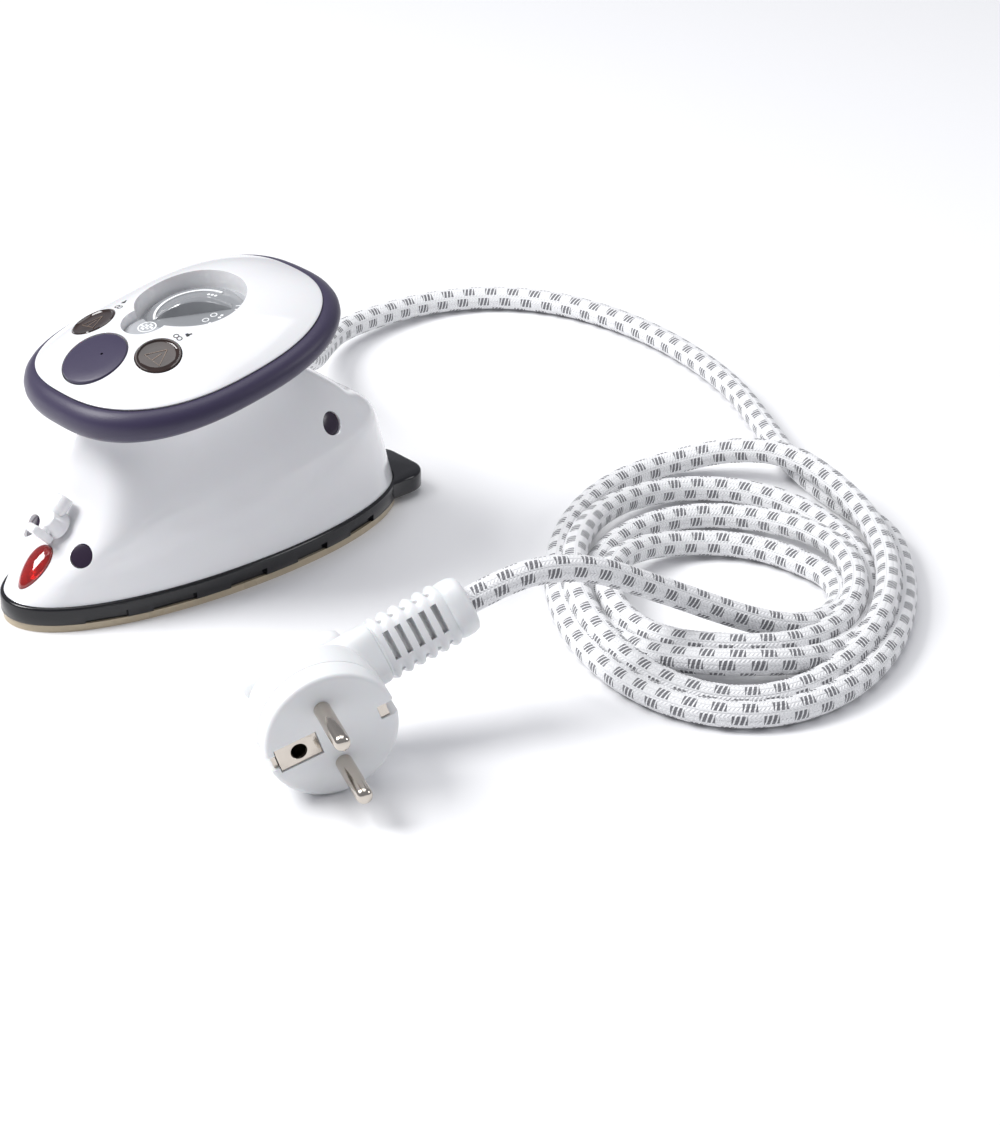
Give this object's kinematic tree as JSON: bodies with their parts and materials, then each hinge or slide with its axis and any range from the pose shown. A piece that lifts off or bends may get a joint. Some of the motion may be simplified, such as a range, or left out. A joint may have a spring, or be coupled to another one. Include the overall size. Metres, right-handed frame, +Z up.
{
  "type": "steam iron",
  "caption": "Compact steam iron with a palm handle, ceramic sole, water filler, temperature dial and a braided lead ending in an angled mains plug.",
  "frame": {"origin": "middle of the iron's footprint, on the surface it stands on", "axes": "+X from the nose to the rear tab, +Z up, symmetric about the XZ plane apart from the cord"},
  "size_m": [0.2946, 0.3002, 0.0881],
  "materials": {
    "ceramic_sole": "satin ceramic coating",
    "black_gloss_plastic": "gloss black moulding",
    "white_gloss_plastic": "gloss white moulding",
    "soft_grip": "fine satin soft-touch",
    "dark_plum_plastic": "gloss dark moulding",
    "red_lens": "clear red moulding",
    "lamp_glass": "neon lamp",
    "grey_translucent": "translucent grey moulding",
    "grey_plastic": "gloss grey moulding",
    "smoked_window": "smoked clear moulding",
    "clear_tank": "clear moulding",
    "silicone": "soft seal",
    "steel": "turned steel",
    "aluminium_cast": "pressed sheet",
    "element_sheath": "heat-tinted tube",
    "thermostat_body": "ceramic body",
    "fuse_sleeve": "glass-fibre sleeve",
    "brass_part": "turned brass",
    "terminal_plastic": "moulded block",
    "wire_sleeve": "woven sleeve",
    "white_soft_plastic": "soft moulded boot",
    "nickel": "nickel-plated brass",
    "braided_sleeve": "white braid with grey dashes"
  },
  "bodies": {
    "root": {"body_screws": "steel", "body_shell": "white_gloss_plastic", "cord_clamp": "steel", "cord_coil": "braided_sleeve", "cord_strain_relief": "white_soft_plastic", "cord_tail": "braided_sleeve", "dial_recess_plate": "grey_plastic", "grip_band": "soft_grip", "handle_lower_shell": "white_gloss_plastic", "handle_screws": "steel", "handle_top_shell": "white_gloss_plastic", "heat_shield_skirt": "black_gloss_plastic", "heater_leads": "wire_sleeve", "heating_element": "element_sheath", "indicator_lamp": "lamp_glass", "indicator_lens": "red_lens", "plug_body": "white_soft_plastic", "plug_earth_contacts": "nickel", "plug_pins": "nickel", "plug_strain_relief": "white_soft_plastic", "power_cord": "braided_sleeve", "screw_caps": "dark_plum_plastic", "skirt_screws": "steel", "soleplate": "ceramic_sole", "steam_chamber_cover": "aluminium_cast", "tank_cover": "clear_tank", "tank_seal": "silicone", "terminal_block": "terminal_plastic", "thermal_fuse": "fuse_sleeve", "thermostat": "thermostat_body", "valve_body": "brass_part", "water_tank": "clear_tank", "water_tube": "silicone", "water_window_left": "smoked_window", "water_window_right": "smoked_window"},
    "dial": {"temperature_dial": "grey_translucent", "dial_shaft": "steel"},
    "knob": {"steam_knob": "white_gloss_plastic", "valve_needle": "steel"},
    "cap": {"filler_cap": "soft_grip"}
  },
  "joints": [
    {"name": "dial_turn", "type": "hinge", "parent": "root", "child": "dial", "pos_m": [-0.00331, 0, 0.07559], "axis": [-0.1886, 0, 0.9821], "range_deg": [-60, 210]},
    {"name": "knob_turn", "type": "hinge", "parent": "root", "child": "knob", "pos_m": [-0.0556, 0, 0.0254], "axis": [-0.6971, 0, 0.717], "range_deg": [0, 90]},
    {"name": "cap_lift", "type": "slide", "parent": "root", "child": "cap", "axis": [-0.4206, 0, 0.9073], "range_m": [0, 0.014]}
  ]
}
